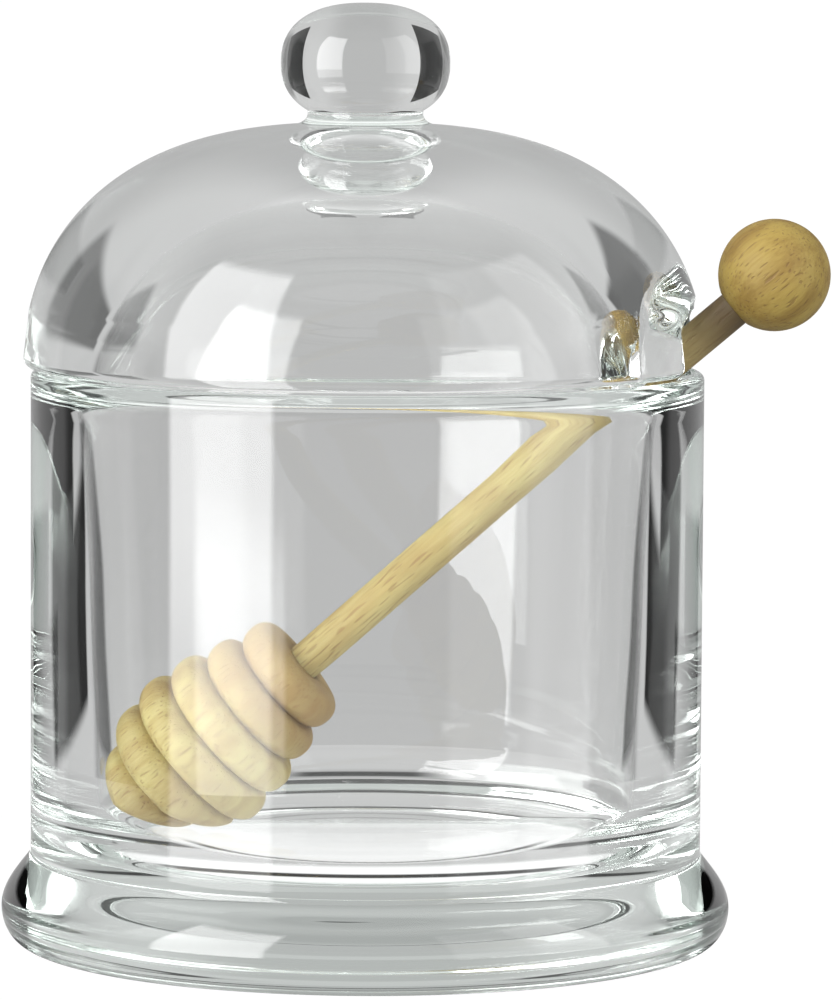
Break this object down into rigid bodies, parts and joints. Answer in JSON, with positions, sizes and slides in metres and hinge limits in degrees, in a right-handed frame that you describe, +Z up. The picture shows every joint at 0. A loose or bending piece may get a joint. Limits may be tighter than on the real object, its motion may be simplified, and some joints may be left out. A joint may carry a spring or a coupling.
{
  "type": "glass honey jar with lid and wooden dipper",
  "caption": "Straight clear glass honey jar on a bulged foot, with a domed knobbed lid, notched at its rim for a turned wooden honey dipper that leans inside.",
  "frame": {"origin": "on the jar's axis, in the plane of its flat underside", "axes": "+Z up along the jar's axis, +X to the side where the dipper comes out of the lid's notch, -Y to the front"},
  "size_m": [0.1148, 0.102, 0.1311],
  "materials": {
    "clear_glass": "clear pressed glass, fire-polished, with a faint green tint in thick places",
    "beech_wood": "turned and sanded light beech, unvarnished"
  },
  "bodies": {
    "root": {"jar": "clear_glass", "lid": "clear_glass", "dipper_head": "beech_wood", "dipper_stick": "beech_wood", "dipper_ball": "beech_wood"}
  },
  "joints": []
}
